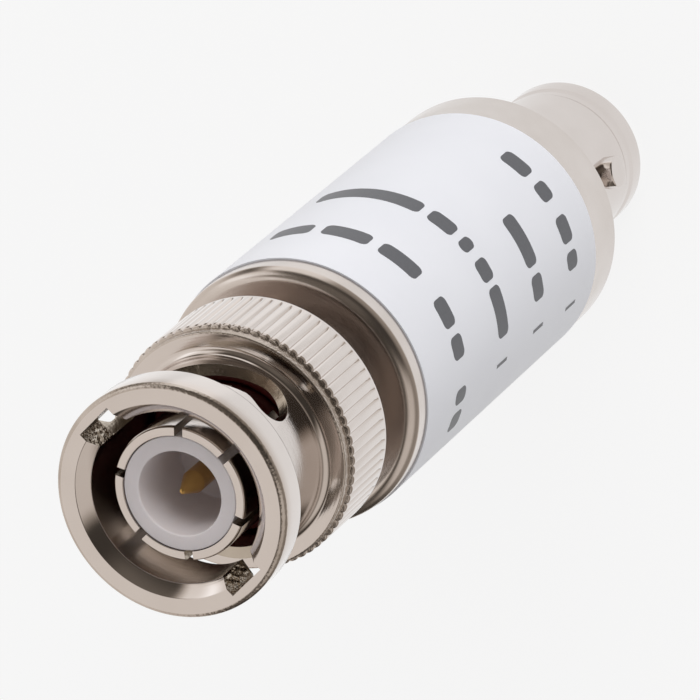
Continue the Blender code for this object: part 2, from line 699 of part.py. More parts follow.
def make_board(materials):
    """Circuit board with the chip resistors of the pi pad on its face."""
    block("resistor_board", (-BOARD_HALF_WIDTH, -BOARD_THICKNESS, BOARD_BOTTOM),
          (BOARD_HALF_WIDTH, 0.0, BOARD_TOP),
          materials["board"])
    low_line = BOARD_BOTTOM + PIN_TONGUE_LENGTH + RESISTOR_END_DISTANCE / 2
    high_line = BOARD_TOP - PIN_TONGUE_LENGTH - RESISTOR_END_DISTANCE / 2
    number = 0
    for height in (low_line, high_line):
        for side in (-1, 1):
            number += 1
            chip(materials, "shunt_resistor_%d" % number, side * SHUNT_OFFSET, height, SHUNT_SIZE)
    middle = (low_line + high_line) / 2
    for number, side in ((1, -1), (2, 1)):
        chip(materials, "series_resistor_%d" % number, side * SERIES_OFFSET, middle, SERIES_SIZE)


def chip(materials, name, across, height, size):
    """One chip resistor lying on the board's face."""
    width, thick, length = size
    low = (across - width / 2, SEAT_GAP, height - length / 2)
    high = (across + width / 2, SEAT_GAP + thick, height + length / 2)
    block(name, low, high, materials["resistor"])


def main():
    clear_scene()
    materials = make_materials()
    make_body(materials)
    make_label(materials)
    make_jack(materials)
    make_studs(materials)
    make_jack_line(materials)
    make_plug_shell(materials)
    make_plug_line(materials)
    make_gasket_and_washers(materials)
    make_nut(materials)
    make_board(materials)


main()
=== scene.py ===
"""Look of an in-line coaxial attenuator: nickel-plated turned brass, a wrapped label and gold contacts."""
import math

import bpy
from mathutils import Matrix, Vector


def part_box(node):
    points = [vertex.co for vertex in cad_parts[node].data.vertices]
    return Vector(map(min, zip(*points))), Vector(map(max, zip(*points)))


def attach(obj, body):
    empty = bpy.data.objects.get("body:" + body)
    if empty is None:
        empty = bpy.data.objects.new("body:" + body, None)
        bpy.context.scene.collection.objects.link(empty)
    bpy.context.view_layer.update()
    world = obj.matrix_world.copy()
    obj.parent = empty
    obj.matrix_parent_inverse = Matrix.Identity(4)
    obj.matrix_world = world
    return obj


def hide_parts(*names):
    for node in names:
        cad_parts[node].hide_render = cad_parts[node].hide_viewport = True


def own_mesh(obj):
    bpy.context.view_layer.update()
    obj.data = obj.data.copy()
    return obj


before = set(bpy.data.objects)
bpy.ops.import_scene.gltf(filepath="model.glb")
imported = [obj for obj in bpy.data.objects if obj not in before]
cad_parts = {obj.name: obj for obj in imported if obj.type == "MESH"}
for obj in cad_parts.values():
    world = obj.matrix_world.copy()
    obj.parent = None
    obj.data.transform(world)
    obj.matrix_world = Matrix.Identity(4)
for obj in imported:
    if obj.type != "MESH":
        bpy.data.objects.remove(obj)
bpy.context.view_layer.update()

# Body sleeve. A brass tube turned from bar, with a small round on its front corner and a nose that the
# plug screws into, then nickel plated. The plug closes its front and the jack is pressed into its rear.
MM = 0.001
ROUND_STEPS = 4
SMOOTH_ANGLE = math.radians(38)
ON_AXIS = 1e-6
WELD = 1e-6

sleeve_low, sleeve_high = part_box("body_sleeve")
body_radius = sleeve_high.x / MM
body_rear = sleeve_low.z / MM
nose_front = sleeve_high.z / MM
nose_length = 2.59
nose_radius = 5.5
body_front = nose_front - nose_length
front_round = 0.75
rear_bevel = 0.45
tube_bore = 6.6
flange_bore = 6.98
flange_seat = 15.35
front_bore = 4.23
inner_wall = 41.4


def select_only(piece):
    bpy.ops.object.select_all(action="DESELECT")
    piece.select_set(True)
    bpy.context.view_layer.objects.active = piece


def soften(outline, radius, steps=ROUND_STEPS):
    """Round each corner of a closed outline of (radius, height) points, in millimetres."""
    nearly_straight = math.radians(165)
    longest_share = 0.4
    rounded = []
    for index, corner in enumerate(outline):
        here = Vector(corner)
        before = Vector(outline[index - 1]) - here
        after = Vector(outline[(index + 1) % len(outline)]) - here
        if corner[0] < ON_AXIS or before.angle(after) > nearly_straight:
            rounded.append(tuple(corner))
            continue
        start = here + before * min(radius / before.length, longest_share)
        end = here + after * min(radius / after.length, longest_share)
        for step in range(steps + 1):
            share = step / steps
            rounded.append(tuple(start.lerp(here, share).lerp(here.lerp(end, share), share)))
    return rounded


def arc(centre_radius, centre_height, radius, start, end, steps):
    """Points of a rounding in an outline; 0 degrees points outwards and 90 up."""
    angles = [math.radians(start + (end - start) * step / steps) for step in range(steps + 1)]
    return [(centre_radius + radius * math.cos(a), centre_height + radius * math.sin(a)) for a in angles]


def turn(name, outline, sides):
    """Draw an outline of (radius, height) points by extruding one point, then spin it like a lathe."""
    bpy.ops.object.select_all(action="DESELECT")
    bpy.ops.mesh.primitive_plane_add(size=MM)
    bpy.ops.object.mode_set(mode="EDIT")
    bpy.ops.mesh.merge(type="CENTER")
    bpy.ops.transform.translate(value=(outline[0][0] * MM, 0, outline[0][1] * MM))
    open_on_axis = outline[0][0] < ON_AXIS and outline[-1][0] < ON_AXIS
    path = outline if open_on_axis else outline + outline[:1]
    for here, there in zip(path, path[1:]):
        step = ((there[0] - here[0]) * MM, 0, (there[1] - here[1]) * MM)
        bpy.ops.mesh.extrude_vertices_move(TRANSFORM_OT_translate={"value": step})
    bpy.ops.mesh.select_all(action="SELECT")
    bpy.ops.mesh.remove_doubles(threshold=WELD)
    bpy.ops.mesh.spin(steps=sides, angle=math.tau, center=(0, 0, 0), axis=(0, 0, 1))
    bpy.ops.mesh.select_all(action="SELECT")
    bpy.ops.mesh.remove_doubles(threshold=WELD)
    bpy.ops.mesh.normals_make_consistent(inside=False)
    bpy.ops.object.mode_set(mode="OBJECT")
    piece = bpy.context.object
    piece.name = name
    return piece


def smooth(piece, angle=SMOOTH_ANGLE):
    """Shade round faces smooth and keep flat ones flat, so that the metal mirrors cleanly."""
    select_only(piece)
    bpy.ops.object.shade_smooth_by_angle(angle=angle)
    weigh = piece.modifiers.new("weigh normals", "WEIGHTED_NORMAL")
    weigh.keep_sharp = True
    bpy.ops.object.modifier_apply(modifier=weigh.name)


def linear(hex_colour):
    """An sRGB colour such as "D8CFC2" as the linear colour that a shader wants."""
    channels = [int(hex_colour[place:place + 2], 16) / 255 for place in (0, 2, 4)]
    return (*[c / 12.92 if c <= 0.04045 else ((c + 0.055) / 1.055) ** 2.4 for c in channels], 1.0)


def add_node(tree, kind, settings=None, values=None, links=None):
    """Add a node, give it its settings and socket values, and link other sockets into it."""
    node = tree.nodes.new(kind)
    for name, setting in (settings or {}).items():
        setattr(node, name, setting)
    for name, value in (values or {}).items():
        node.inputs[name].default_value = value
    for name, source in (links or {}).items():
        tree.links.new(source, node.inputs[name])
    return node


def new_material(name):
    material = bpy.data.materials.new(name)
    material.use_nodes = True
    return material, material.node_tree, material.node_tree.nodes["Principled BSDF"]


def turned_coordinates(tree):
    """Coordinates in millimetres that run along and away from the axis, so that a pattern makes rings."""
    place = add_node(tree, "ShaderNodeTexCoord")
    apart = add_node(tree, "ShaderNodeSeparateXYZ", links={"Vector": place.outputs["Object"]})
    flat = add_node(tree, "ShaderNodeCombineXYZ", links={0: apart.outputs["X"], 1: apart.outputs["Y"]})
    away = add_node(tree, "ShaderNodeVectorMath", {"operation": "LENGTH"}, links={0: flat.outputs[0]})
    rings = add_node(tree, "ShaderNodeCombineXYZ", links={0: away.outputs["Value"], 1: apart.outputs["Z"]})
    in_mm = add_node(tree, "ShaderNodeVectorMath", {"operation": "SCALE"}, {"Scale": 1000.0},
                     {0: rings.outputs[0]})
    solid = add_node(tree, "ShaderNodeVectorMath", {"operation": "SCALE"}, {"Scale": 1000.0},
                     {0: place.outputs["Object"]})
    return in_mm.outputs[0], solid.outputs[0]


def plated_metal(name, colour, stain, roughness, ring_spacing, ring_depth, pit_depth, edge_round,
                 pit_spacing=0.2, clouds_per_mm=0.35):
    """Plated metal: tool rings, pits, clouds in its colour and gloss, and round edges, all in millimetres."""
    material, tree, shader = new_material(name)
    rings, solid = turned_coordinates(tree)
    cloud = add_node(tree, "ShaderNodeTexNoise", values={"Scale": clouds_per_mm, "Detail": 3.0},
                     links={"Vector": solid})
    tint = add_node(tree, "ShaderNodeMix", {"data_type": "RGBA"}, links={0: cloud.outputs["Fac"]})
    tint.inputs[6].default_value = linear(colour)
    tint.inputs[7].default_value = linear(stain)
    gloss = add_node(tree, "ShaderNodeMapRange",
                     values={"From Min": 0.3, "From Max": 0.7, "To Min": roughness * 0.8,
                             "To Max": roughness * 1.25},
                     links={"Value": cloud.outputs["Fac"]})
    tool = add_node(tree, "ShaderNodeTexNoise", {"noise_dimensions": "2D"},
                    {"Scale": 1.0 / ring_spacing, "Detail": 2.0}, {"Vector": rings})
    edge = add_node(tree, "ShaderNodeBevel", {"samples": 6}, {"Radius": edge_round * MM})
    pits = add_node(tree, "ShaderNodeTexNoise", values={"Scale": 1.0 / pit_spacing, "Detail": 2.0},
                    links={"Vector": solid})
    dents = add_node(tree, "ShaderNodeBump", values={"Distance": pit_depth * MM},
                     links={"Height": pits.outputs["Fac"], "Normal": edge.outputs["Normal"]})
    bump = add_node(tree, "ShaderNodeBump", values={"Distance": ring_depth * MM},
                    links={"Height": tool.outputs["Fac"], "Normal": dents.outputs["Normal"]})
    shader.inputs["Metallic"].default_value = 1.0
    tree.links.new(tint.outputs[2], shader.inputs["Base Color"])
    tree.links.new(gloss.outputs["Result"], shader.inputs["Roughness"])
    tree.links.new(bump.outputs["Normal"], shader.inputs["Normal"])
    return material


# Bright nickel plate on turned brass gives a warm and fairly sharp mirror. The lathe leaves rings about
# 0.05 mm apart, drawn at 0.1 mm, which is as coarse as they need to show.
nickel = plated_metal("nickel-plated brass, turned", "DED7D3", "D4CCC7", roughness=0.11, ring_spacing=0.1,
                      ring_depth=0.002, pit_depth=0.00005, edge_round=0.03)

sleeve = turn("sleeve", soften([
    (flange_bore, body_rear),
    (body_radius - rear_bevel, body_rear),
    (body_radius, body_rear + rear_bevel),
    *arc(body_radius - front_round, body_front - front_round, front_round, start=0, end=90, steps=10),
    (nose_radius, body_front),
    (nose_radius, nose_front),
    (front_bore, nose_front),
    (front_bore, inner_wall),
    (tube_bore, inner_wall),
    (tube_bore, flange_seat),
    (flange_bore, flange_seat),
], radius=0.08), sides=192)
smooth(sleeve)

# The same plate on a finer, duller cut gives a soft mirror whose reflections have no sharp edge. Its
# rings of 0.05 mm are drawn at 0.15 mm, as coarse as they need to show.
satin = plated_metal("nickel-plated brass, fine turned", "DED7D3", "CFC6BF", roughness=0.2,
                     ring_spacing=0.15, ring_depth=0.003, pit_depth=0.0005, edge_round=0.03)
sleeve.data.materials.append(satin)
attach(sleeve, "body")
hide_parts("body_sleeve")


# Label. One strip of white polyester film wrapped round the sleeve and stuck down, its ends lapped at the
# back. It is 0.1 mm thick, and its cut front edge shows as a thin grey line.
label_low, label_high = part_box("body_label")
glue = 0.005
label_inner = body_radius + glue
label_outer = label_high.x / MM
label_lap = 0.09
label_start = 120.0
label_steps = 150
lap_steps = 6
lift_steps = 3


def rectangle(name, inner, outer, low, high):
    """A flat upright rectangle in the XZ plane, left in edit mode with all of it selected."""
    bpy.ops.object.select_all(action="DESELECT")
    bpy.ops.mesh.primitive_plane_add(size=1)
    piece = bpy.context.object
    piece.name = name
    bpy.ops.object.mode_set(mode="EDIT")
    bpy.ops.transform.rotate(value=math.pi / 2, orient_axis="X", center_override=(0, 0, 0))
    bpy.ops.transform.resize(value=((outer - inner) * MM, 1, (high - low) * MM), center_override=(0, 0, 0))
    bpy.ops.transform.translate(value=((outer + inner) / 2 * MM, 0, (high + low) / 2 * MM))
    return piece


label = rectangle("label", label_inner, label_outer, label_low.z / MM, label_high.z / MM)
bpy.ops.transform.rotate(value=-math.radians(label_start), orient_axis="Z", center_override=(0, 0, 0))
for step in range(label_steps + lap_steps):
    bpy.ops.mesh.extrude_region_move()
    bpy.ops.transform.rotate(value=-math.tau / label_steps, orient_axis="Z", center_override=(0, 0, 0))
    if label_steps - lift_steps < step <= label_steps:
        grow = 1 + label_lap / lift_steps / label_outer
        bpy.ops.transform.resize(value=(grow, grow, 1), center_override=(0, 0, 0))
bpy.ops.mesh.select_all(action="SELECT")
bpy.ops.mesh.normals_make_consistent(inside=False)
bpy.ops.object.mode_set(mode="OBJECT")
smooth(label)

# Coated film gives a soft white with a faint blue cast and a broad, dull shine. The coating's grain is
# finer than 0.05 mm and is drawn at 0.11 mm, as coarse as it needs to show; the wrap leaves ripples 5 to
# 6 mm wide.
grains_per_mm = 9.0
grain_depth = 0.0015
ripples_per_mm = 0.18
ripple_depth = 0.06
film, film_tree, film_shader = new_material("satin polyester label film")
film_solid = turned_coordinates(film_tree)[1]
grain = add_node(film_tree, "ShaderNodeTexNoise", values={"Scale": grains_per_mm, "Detail": 3.0},
                 links={"Vector": film_solid})
ripple = add_node(film_tree, "ShaderNodeTexNoise", values={"Scale": ripples_per_mm, "Detail": 1.0},
                  links={"Vector": film_solid})
tone = add_node(film_tree, "ShaderNodeMix", {"data_type": "RGBA"}, links={0: ripple.outputs["Fac"]})
tone.inputs[6].default_value = linear("E6E7EC")
tone.inputs[7].default_value = linear("DFE0E6")
wave = add_node(film_tree, "ShaderNodeBump", values={"Distance": ripple_depth * MM},
                links={"Height": ripple.outputs["Fac"]})
tooth = add_node(film_tree, "ShaderNodeBump", values={"Distance": grain_depth * MM},
                 links={"Height": grain.outputs["Fac"], "Normal": wave.outputs["Normal"]})
film_tree.links.new(tone.outputs[2], film_shader.inputs["Base Color"])
film_tree.links.new(tooth.outputs["Normal"], film_shader.inputs["Normal"])
film_shader.inputs["Roughness"].default_value = 0.42
label.data.materials.append(film)
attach(label, "body")
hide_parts("body_label")


# Bars on the label. Four rows of plain round-ended bars run round the body, printed by thermal transfer
# in grey ink, a film of resin that stands a hair above the face.
ink_sink = 0.004
ink_radius = label_outer - ink_sink
ink_thickness = 0.014
ink_height = 1.5
ink_round = 0.4
round_steps = 5
ink_step = 3.0

# The height of each row in millimetres, and where its bars start and end round the body in degrees.
ink_rows = {
    36.9: [(-129, -120), (-116, -109), (-96, -86), (-82, -69), (-57, -37), (-32, -11), (-6, 13)],
    30.5: [(-117, -113), (-103, -81), (-78, -68), (-63, -57), (-53, -40), (-36, 12)],
    24.9: [(-116, -112), (-101, -90), (-86, -62)],
    19.5: [(-120, -116), (-101, -93), (-89, -77), (-69, -60), (-55, -41)],
}


def bar_stations(start, end):
    """Angles along a bar and the height it has there; the ends are quarter rounds."""
    corner = math.degrees(ink_round / ink_radius)
    quarter = [math.pi / 2 * step / round_steps for step in range(round_steps + 1)]
    rounding = [(corner * (1 - math.sin(swing)), ink_height - 2 * ink_round * (1 - math.cos(swing)))
                for swing in reversed(quarter)]
    middle = max(1, round((end - start - 2 * corner) / ink_step))
    length = (end - start - 2 * corner) / middle
    inside = [(start + corner + length * step, ink_height) for step in range(1, middle)]
    return ([(start + away, height) for away, height in rounding] + inside
            + [(end - away, height) for away, height in reversed(rounding)])


def bar(start, end, height):
    """Drag an upright line round the label from station to station and stretch it on the way."""
    bpy.ops.object.select_all(action="DESELECT")
    bpy.ops.mesh.primitive_plane_add(size=MM)
    bpy.ops.object.mode_set(mode="EDIT")
    bpy.ops.mesh.merge(type="CENTER")
    stations = bar_stations(start, end)
    here, tall = stations[0]
    bpy.ops.transform.translate(value=(ink_radius * MM, 0, (height - tall / 2) * MM))
    bpy.ops.mesh.extrude_vertices_move(TRANSFORM_OT_translate={"value": (0, 0, tall * MM)})
    bpy.ops.mesh.select_all(action="SELECT")
    bpy.ops.transform.rotate(value=-math.radians(here), orient_axis="Z", center_override=(0, 0, 0))
    for there, next_tall in stations[1:]:
        bpy.ops.mesh.extrude_region_move()
        bpy.ops.transform.rotate(
            value=-math.radians(there - here), orient_axis="Z", center_override=(0, 0, 0))
        bpy.ops.transform.resize(value=(1, 1, next_tall / tall), center_override=(0, 0, height * MM))
        here, tall = there, next_tall
    bpy.ops.object.mode_set(mode="OBJECT")
    return bpy.context.object


bars = [bar(start, end, height) for height, spans in ink_rows.items() for start, end in spans]
bpy.ops.object.select_all(action="DESELECT")
for piece in bars:
    piece.select_set(True)
bpy.context.view_layer.objects.active = bars[0]
bpy.ops.object.join()
ink = bpy.context.object
ink.name = "label_bars"
bpy.ops.object.mode_set(mode="EDIT")
bpy.ops.mesh.select_all(action="SELECT")
bpy.ops.mesh.normals_make_consistent(inside=False)
bpy.ops.object.mode_set(mode="OBJECT")
outwards = sum(face.normal.x * face.center.x + face.normal.y * face.center.y for face in ink.data.polygons)
wall = ink.modifiers.new("ink film", "SOLIDIFY")
wall.thickness = ink_thickness * MM
wall.offset = 1.0 if outwards > 0 else -1.0
bpy.ops.object.modifier_apply(modifier=wall.name)
smooth(ink)

# Resin ink gives a dark grey that is a little glossier than the film and not quite even. The printer's
# dots are 0.1 mm and are drawn at 0.17 mm, as coarse as they need to show.
dots_per_mm = 6.0
resin, resin_tree, resin_shader = new_material("thermal transfer resin ink")
resin_solid = turned_coordinates(resin_tree)[1]
fade = add_node(resin_tree, "ShaderNodeTexNoise", values={"Scale": dots_per_mm, "Detail": 4.0},
                links={"Vector": resin_solid})
shade = add_node(resin_tree, "ShaderNodeMix", {"data_type": "RGBA"}, links={0: fade.outputs["Fac"]})
shade.inputs[6].default_value = linear("48494E")
shade.inputs[7].default_value = linear("57585D")
resin_tree.links.new(shade.outputs[2], resin_shader.inputs["Base Color"])
resin_shader.inputs["Roughness"].default_value = 0.38
ink.data.materials.append(resin)
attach(ink, "body")


# Coupling nut. Turned from brass bar, knurled, milled with two entry notches and two bayonet windows,
# then nickel plated. It turns on the plug and slides a little along it.
nut_low, nut_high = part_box("coupling_nut")
nut_front = nut_high.z / MM
nut_rear = nut_low.z / MM
nut_bore = 5.1
rim_radius = 6.95
rim_round = 0.34
face_inner = 5.77
chamfer_depth = 0.65
rim_length = 2.1
neck_radius = 5.8
neck_start = 3.5
neck_steps = 10
flange_depth = 7.95
flange_radius = 7.11
flange_bevel = 0.07
neck_fillet = 0.5
knurl_depth = 8.63
knurl_radius = 7.37
knurl_run_out = (0.5, 0.85)
knurl_teeth = 75
sides_per_tooth = 8
knurl_rear_bevel = 0.3
lead_before = 0.03
lead_drop = 0.05
lead_length = 0.15
web_thickness = 1.06
web_bore = 4.6
notch_angle = 33.0
notch_width = 2.5
notch_inner = nut_bore - 0.9
notch_reach = 6.15
notch_length = 3.0
overrun = 1.0
window_inner = 4.5
window_outer = 8.2
window_width = 2.6
window_entry = 14.0
window_step = 4.0
window_steps = 23
ramp_start = 2.7
hump_angle = -75.0
hump_depth = 4.63
pocket_angle = -88.7
pocket_depth = 5.4
pocket_radius = 1.15
pocket_half = math.degrees(pocket_radius / neck_radius)
pocket_steps = 20


def below_face(radius, depth):
    return (radius, nut_front - depth)


def neck_outline():
    """The rim runs into the neck on a smooth double curve."""
    points = []
    for step in range(neck_steps + 1):
        share = step / neck_steps
        blend = share * share * (3 - 2 * share)
        points.append(below_face(rim_radius + (neck_radius - rim_radius) * blend,
                                 rim_length + (neck_start - rim_length) * share))
    return points


nut = turn("nut", soften([
    below_face(nut_bore, chamfer_depth),
    below_face(face_inner, 0.0),
    *arc(rim_radius - rim_round, nut_front - rim_round, rim_round, start=90, end=0, steps=8),
    *neck_outline(),
    *arc(neck_radius + neck_fillet, nut_front - flange_depth + neck_fillet, neck_fillet,
         start=180, end=270, steps=8),
    below_face(flange_radius - flange_bevel, flange_depth),
    below_face(flange_radius, flange_depth + flange_bevel),
    below_face(flange_radius, knurl_depth - lead_before),
    below_face(knurl_radius - lead_drop, knurl_depth),
    below_face(knurl_radius, knurl_depth + lead_length),
    (knurl_radius, nut_rear + knurl_run_out[1]),
    (knurl_radius, nut_rear + knurl_run_out[0]),
    (knurl_radius, nut_rear + knurl_rear_bevel),
    (knurl_radius - knurl_rear_bevel, nut_rear),
    (web_bore, nut_rear),
    (web_bore, nut_rear + web_thickness),
    (nut_bore, nut_rear + web_thickness),
], radius=0.04, steps=2), sides=knurl_teeth * sides_per_tooth)


# How far the middle of a groove is pressed in, and the lines of points beside it, in millimetres.
knurl_press = (0.125, 0.05, 0.018)


def press_knurl(piece):
    """Press grooves between round-topped knurl lines; they run out just before the rear edge."""
    tooth = math.tau / knurl_teeth
    slack = 0.05
    top = nut_front - knurl_depth + slack
    bottom = nut_rear + sum(knurl_run_out) / 2
    for line, press in enumerate(knurl_press):
        for vertex in piece.data.vertices:
            radius = math.hypot(vertex.co.x, vertex.co.y) / MM
            height = vertex.co.z / MM
            angle = math.atan2(vertex.co.y, vertex.co.x)
            on_line = round(abs(math.remainder(angle, tooth)) * sides_per_tooth / tooth) == line
            vertex.select = on_line and radius > flange_radius + slack and bottom < height < top
        for part in (*piece.data.edges, *piece.data.polygons):
            part.select = False
        bpy.ops.object.mode_set(mode="EDIT")
        bpy.ops.mesh.select_mode(type="VERT")
        groove = 1 - press / knurl_radius
        bpy.ops.transform.resize(value=(groove, groove, 1), center_override=(0, 0, 0))
        bpy.ops.object.mode_set(mode="OBJECT")


press_knurl(nut)


def ramp(angle):
    return ramp_start + (hump_depth - ramp_start) * angle / hump_angle


def window_edges(angle):
    """Depth of the front and rear edge of a bayonet window at an angle from its notch."""
    across = (angle - pocket_angle) / pocket_half
    crest = pocket_depth - pocket_radius
    if across < 0:
        front = pocket_depth - pocket_radius * math.sqrt(1 - across * across)
    elif angle < hump_angle:
        share = (angle - pocket_angle) / (hump_angle - pocket_angle)
        front = crest + (hump_depth - crest) * share * share * (3 - 2 * share)
    else:
        front = ramp(angle)
    if across < 1:
        reach = ramp(pocket_angle + pocket_half) + window_width - pocket_depth
        return front, pocket_depth + reach * math.sqrt(1 - ((1 - across) / 2) ** 2)
    return front, ramp(angle) + window_width


def window_cutter(name, turned_by):
    """Sweep an upright rectangle round the axis along the window, growing and shrinking with its edges."""
    angles = [window_entry - window_step * step for step in range(window_steps)] + [hump_angle]
    just_inside = 0.99
    swing = just_inside * pocket_half
    angles += [pocket_angle + swing * math.cos(math.pi * step / pocket_steps)
               for step in range(pocket_steps + 1)]
    front, rear = window_edges(angles[0])
    piece = rectangle(name, window_inner, window_outer, nut_front - rear, nut_front - front)
    bpy.ops.transform.rotate(
        value=-math.radians(turned_by + angles[0]), orient_axis="Z", center_override=(0, 0, 0))
    for before, after in zip(angles, angles[1:]):
        old_front, old_rear = window_edges(before)
        front, rear = window_edges(after)
        bpy.ops.mesh.extrude_region_move()
        bpy.ops.transform.rotate(
            value=-math.radians(after - before), orient_axis="Z", center_override=(0, 0, 0))
        middle = (nut_front - (old_front + old_rear) / 2) * MM
        grow = (rear - front) / (old_rear - old_front)
        bpy.ops.transform.resize(value=(1, 1, grow), center_override=(0, 0, middle))
        drop = (old_front + old_rear - front - rear) / 2 * MM
        bpy.ops.transform.translate(value=(0, 0, drop))
    bpy.ops.mesh.select_all(action="SELECT")
    bpy.ops.mesh.normals_make_consistent(inside=False)
    bpy.ops.object.mode_set(mode="OBJECT")
    return piece


def saw(name, inner, outer, width, low, high, turned_by=0.0, aside=0.0):
    """A straight cutter that stands across the wall at one angle, or beside the axis."""
    bpy.ops.object.select_all(action="DESELECT")
    bpy.ops.mesh.primitive_cube_add(size=1)
    piece = bpy.context.object
    piece.name = name
    bpy.ops.object.mode_set(mode="EDIT")
    bpy.ops.transform.resize(value=((outer - inner) * MM, width * MM, (high - low) * MM))
    bpy.ops.transform.translate(value=((outer + inner) / 2 * MM, aside * MM, (high + low) / 2 * MM))
    bpy.ops.transform.rotate(value=-math.radians(turned_by), orient_axis="Z", center_override=(0, 0, 0))
    bpy.ops.object.mode_set(mode="OBJECT")
    return piece


def cut_away(piece, cutters, finish):
    """Cut with each tool in turn and drop the tool; the cut faces get the tool's finish."""
    piece.data.materials.append(finish)
    for cutter in cutters:
        cutter.data.materials.append(finish)
        step = piece.modifiers.new("cut", "BOOLEAN")
        step.operation = "DIFFERENCE"
        step.solver = "EXACT"
        step.material_mode = "TRANSFER"
        step.object = cutter
        select_only(piece)
        bpy.ops.object.modifier_apply(modifier=step.name)
        bpy.data.objects.remove(cutter)


# A sharp end mill leaves the windows and saw slots with a duller mirror, greyed in places, and with marks
# 0.2 mm apart from its teeth.
milled = plated_metal("nickel-plated brass, milled", "D3CABE", "A69B8D", roughness=0.2, ring_spacing=0.2,
                      ring_depth=0.004, pit_depth=0.012, edge_round=0.03)

# A blunt one tears the entry notches, which the plate then makes glitter: bright and black flecks side by
# side. The tears are 0.1 to 0.3 mm wide and are drawn at 0.4 mm, as coarse as they need to show.
slotted = plated_metal("nickel-plated brass, slotted", "D3CABE", "94897B", roughness=0.18,
                       ring_spacing=0.3, ring_depth=0.01, pit_depth=0.14, edge_round=0.03, pit_spacing=0.4)

# A boring bar leaves the bore with rings 0.08 mm apart, deeper than those outside, which smear its dark
# and bright bands along the axis.
bored = plated_metal("nickel-plated brass, bored", "D6CDC5", "C6BCB2", roughness=0.2, ring_spacing=0.08,
                     ring_depth=0.007, pit_depth=0.001, edge_round=0.03)

# Handling has nicked the rim and the flange edge, so that their shine breaks up into short dashes and
# greys where the plate is worn. The nicks are 0.2 mm long.
knocked = plated_metal("nickel-plated brass, edge worn by handling", "E4DDD8", "A89C90", roughness=0.22,
                       ring_spacing=0.3, ring_depth=0.004, pit_depth=0.03, edge_round=0.03)

nut_finishes = (nickel, bored, knocked)
for finish in nut_finishes:
    nut.data.materials.append(finish)
bore_reach = nut_bore + 0.02
steepest_wall = 0.5
flange_edge_start = flange_depth - 0.01
flange_edge_inner = flange_radius - 0.1
flat_face = 0.995
for face in nut.data.polygons:
    radius = math.hypot(face.center.x, face.center.y) / MM
    depth = nut_front - face.center.z / MM
    on_rim = radius > rim_radius - rim_round and depth < rim_round and face.normal.z < flat_face
    on_flange = radius > flange_edge_inner and flange_edge_start < depth < knurl_depth
    if radius < bore_reach and abs(face.normal.z) < steepest_wall:
        face.material_index = nut_finishes.index(bored)
    elif on_flange or on_rim:
        face.material_index = nut_finishes.index(knocked)
both_sides = (notch_angle, notch_angle + 180)
cut_away(nut, [window_cutter("window", angle) for angle in both_sides], milled)
cut_away(nut, [saw("notch", notch_inner, notch_reach, notch_width, nut_front - notch_length,
                   nut_front + overrun, angle) for angle in both_sides], slotted)
milled_crease = math.radians(24)
smooth(nut, angle=milled_crease)
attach(nut, "nut")
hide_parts("coupling_nut")


# Plug shell. The outer contact is a plated brass tube sawn into six springy fingers. Behind them a flange
# carries the gasket, and the neck and the tail go down into the sleeve, where the board sits in a slot.
shell_low, shell_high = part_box("plug_shell")
finger_front = shell_high.z / MM
tail_end = shell_low.z / MM
finger_radius = 4.0
finger_bore = 3.43
finger_lead = 0.16
finger_root = nut_front - 8.0
finger_slot = 0.5
finger_angles = (-15.0, -62.0, -122.0, 173.0, 124.0, 63.5)
shell_flange_radius = 4.9
shell_flange_front = 49.7
shell_flange_rear = 48.65
neck_of_shell = 4.4
tail_radius = 4.2
face_gap = 0.05
shoulder = nose_front + face_gap
bead_bore = 3.0
insulator_seat = 47.9
board_slot_low = -1.05
board_slot_high = 0.05
board_slot_middle = (board_slot_low + board_slot_high) / 2
board_slot_width = board_slot_high - board_slot_low
board_slot_depth = 3.0
board_slot_reach = 6.0
finger_past = 0.6

fingers = turn("fingers", soften([
    (finger_bore, finger_front),
    (finger_bore, insulator_seat),
    (bead_bore, insulator_seat),
    (bead_bore, tail_end),
    (tail_radius, tail_end),
    (tail_radius, shoulder),
    (neck_of_shell, shoulder),
    (neck_of_shell, shell_flange_rear),
    (shell_flange_radius, shell_flange_rear),
    (shell_flange_radius, shell_flange_front),
    (finger_radius, shell_flange_front),
    (finger_radius, finger_front - finger_lead),
    (finger_radius - finger_lead / 2, finger_front),
], radius=0.05), sides=144)
fingers.data.materials.append(nickel)
cut_away(fingers, [
    *[saw("finger slot", finger_bore - finger_past, finger_radius + finger_past, finger_slot, finger_root,
          nut_front + overrun, angle) for angle in finger_angles],
    saw("board slot", -board_slot_reach, board_slot_reach, board_slot_width, tail_end - overrun,
        tail_end + board_slot_depth, aside=board_slot_middle),
], milled)
smooth(fingers, angle=milled_crease)
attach(fingers, "body")
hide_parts("plug_shell")


# Plug insulator. A turned tube of white PTFE, flush with the finger ends, with a deep well round the pin.
# It is pushed into the fingers from the front, down to the step in their bore.
plug_low, plug_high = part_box("plug_insulator")
well_radius = 2.5
well_depth = 5.6
pin_radius = 0.675
slip_fit = 0.03
tube_radius = finger_bore - slip_fit
ring_front = plug_high.z / MM
well_floor = finger_front - well_depth

tube = turn("plug_tube", soften([
    (well_radius, ring_front),
    (well_radius, well_floor),
    (pin_radius + slip_fit, well_floor),
    (pin_radius + slip_fit, plug_low.z / MM),
    (tube_radius, plug_low.z / MM),
    (tube_radius, ring_front),
], radius=0.09), sides=144)
smooth(tube)

